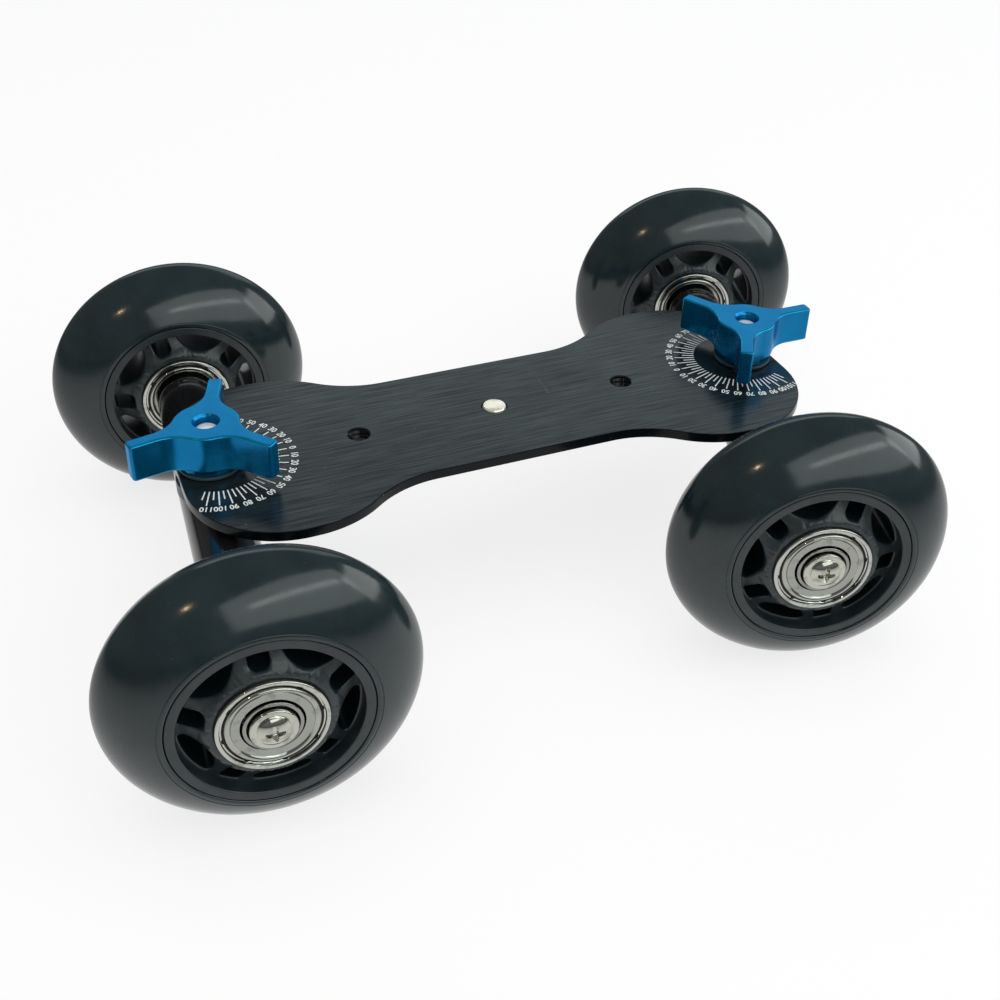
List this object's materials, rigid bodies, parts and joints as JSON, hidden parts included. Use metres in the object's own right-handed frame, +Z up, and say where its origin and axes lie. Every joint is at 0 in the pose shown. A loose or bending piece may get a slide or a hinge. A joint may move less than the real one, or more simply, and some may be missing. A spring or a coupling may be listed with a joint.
{
  "type": "camera skater dolly",
  "caption": "Table-top camera dolly: dog-bone plate on two swivelling axle bars with skate wheels, clamped by three-armed knobs.",
  "frame": {"origin": "On the ground, under the middle of the box round the whole dolly as it stands in the picture", "axes": "+X along the mounting plate to the right-hand truck, +Y to the rear, +Z up"},
  "size_m": [0.2198, 0.148, 0.0644],
  "materials": {
    "plate": "brushed, black anodised",
    "axle_bar": "polished, black anodised",
    "knob": "satin, blue anodised",
    "tyre": "glossy cast urethane",
    "wheel_hub": "moulded, satin",
    "bearing_steel": "ground and polished",
    "screw_steel": "bright zinc plated",
    "washer_nylon": "smooth, translucent grey"
  },
  "bodies": {
    "plate": {"mounting_plate": "plate"},
    "camera_screw": {"camera_screw": "screw_steel"},
    "left_truck": {"axle_bar_left": "axle_bar", "clamp_stud_left": "screw_steel", "swivel_washer_left": "washer_nylon", "knob_washer_left": "washer_nylon", "axle_sleeve_front_left": "screw_steel", "axle_screw_front_left": "screw_steel", "end_washer_front_left": "screw_steel", "outboard_inner_race_front_left": "bearing_steel", "inboard_inner_race_front_left": "bearing_steel", "axle_sleeve_rear_left": "screw_steel", "axle_screw_rear_left": "screw_steel", "end_washer_rear_left": "screw_steel", "outboard_inner_race_rear_left": "bearing_steel", "inboard_inner_race_rear_left": "bearing_steel"},
    "right_truck": {"axle_bar_right": "axle_bar", "clamp_stud_right": "screw_steel", "swivel_washer_right": "washer_nylon", "knob_washer_right": "washer_nylon", "axle_sleeve_front_right": "screw_steel", "axle_screw_front_right": "screw_steel", "end_washer_front_right": "screw_steel", "outboard_inner_race_front_right": "bearing_steel", "inboard_inner_race_front_right": "bearing_steel", "axle_sleeve_rear_right": "screw_steel", "axle_screw_rear_right": "screw_steel", "end_washer_rear_right": "screw_steel", "outboard_inner_race_rear_right": "bearing_steel", "inboard_inner_race_rear_right": "bearing_steel"},
    "left_knob": {"clamp_knob_left": "knob"},
    "right_knob": {"clamp_knob_right": "knob"},
    "front_left_wheel": {"tyre_front_left": "tyre", "wheel_hub_front_left": "wheel_hub", "outboard_outer_race_front_left": "bearing_steel", "inboard_outer_race_front_left": "bearing_steel"},
    "rear_left_wheel": {"tyre_rear_left": "tyre", "wheel_hub_rear_left": "wheel_hub", "outboard_outer_race_rear_left": "bearing_steel", "inboard_outer_race_rear_left": "bearing_steel"},
    "front_right_wheel": {"tyre_front_right": "tyre", "wheel_hub_front_right": "wheel_hub", "outboard_outer_race_front_right": "bearing_steel", "inboard_outer_race_front_right": "bearing_steel"},
    "rear_right_wheel": {"tyre_rear_right": "tyre", "wheel_hub_rear_right": "wheel_hub", "outboard_outer_race_rear_right": "bearing_steel", "inboard_outer_race_rear_right": "bearing_steel"},
    "front_left_balls": {"outboard_ball_cage_front_left": "bearing_steel", "inboard_ball_cage_front_left": "bearing_steel"},
    "rear_left_balls": {"outboard_ball_cage_rear_left": "bearing_steel", "inboard_ball_cage_rear_left": "bearing_steel"},
    "front_right_balls": {"outboard_ball_cage_front_right": "bearing_steel", "inboard_ball_cage_front_right": "bearing_steel"},
    "rear_right_balls": {"outboard_ball_cage_rear_right": "bearing_steel", "inboard_ball_cage_rear_right": "bearing_steel"}
  },
  "joints": [
    {"name": "left_swivel", "type": "hinge", "parent": "plate", "child": "left_truck", "pos_m": [-0.07376, 0, 0.044], "axis": [0, 0, 1], "range_deg": [-38.1, 45.8]},
    {"name": "right_swivel", "type": "hinge", "parent": "plate", "child": "right_truck", "pos_m": [0.06304, 0, 0.044], "axis": [0, 0, 1], "range_deg": [-26.6, 57.3]},
    {"name": "left_knob_turn", "type": "hinge", "parent": "left_truck", "child": "left_knob", "pos_m": [-0.07376, 0, 0.044], "axis": [0, 0, 1], "range_deg": [0, 360]},
    {"name": "right_knob_turn", "type": "hinge", "parent": "right_truck", "child": "right_knob", "pos_m": [0.06304, 0, 0.044], "axis": [0, 0, 1], "range_deg": [0, 360]},
    {"name": "camera_screw_travel", "type": "slide", "parent": "plate", "child": "camera_screw", "axis": [0, 0, 1], "range_m": [0, 0.0045]},
    {"name": "front_left_spin", "type": "hinge", "parent": "left_truck", "child": "front_left_wheel", "pos_m": [-0.07774, -0.05947, 0.0322], "axis": [0.0668, 0.9978, 0], "continuous": true},
    {"name": "rear_left_spin", "type": "hinge", "parent": "left_truck", "child": "rear_left_wheel", "pos_m": [-0.06977, 0.05947, 0.0322], "axis": [0.0668, 0.9978, 0], "continuous": true},
    {"name": "front_right_spin", "type": "hinge", "parent": "right_truck", "child": "front_right_wheel", "pos_m": [0.04728, -0.05748, 0.0322], "axis": [0.2645, 0.9644, 0], "continuous": true},
    {"name": "rear_right_spin", "type": "hinge", "parent": "right_truck", "child": "rear_right_wheel", "pos_m": [0.07881, 0.05748, 0.0322], "axis": [0.2645, 0.9644, 0], "continuous": true},
    {"name": "front_left_balls_roll", "type": "hinge", "parent": "left_truck", "child": "front_left_balls", "pos_m": [-0.07774, -0.05947, 0.0322], "axis": [0.0668, 0.9978, 0], "continuous": true},
    {"name": "rear_left_balls_roll", "type": "hinge", "parent": "left_truck", "child": "rear_left_balls", "pos_m": [-0.06977, 0.05947, 0.0322], "axis": [0.0668, 0.9978, 0], "continuous": true},
    {"name": "front_right_balls_roll", "type": "hinge", "parent": "right_truck", "child": "front_right_balls", "pos_m": [0.04728, -0.05748, 0.0322], "axis": [0.2645, 0.9644, 0], "continuous": true},
    {"name": "rear_right_balls_roll", "type": "hinge", "parent": "right_truck", "child": "rear_right_balls", "pos_m": [0.07881, 0.05748, 0.0322], "axis": [0.2645, 0.9644, 0], "continuous": true}
  ],
  "couplings": [
    {"joint": "front_left_balls_roll", "follows": "front_left_spin", "ratio": 0.627},
    {"joint": "rear_left_balls_roll", "follows": "rear_left_spin", "ratio": 0.627},
    {"joint": "front_right_balls_roll", "follows": "front_right_spin", "ratio": 0.627},
    {"joint": "rear_right_balls_roll", "follows": "rear_right_spin", "ratio": 0.627}
  ]
}
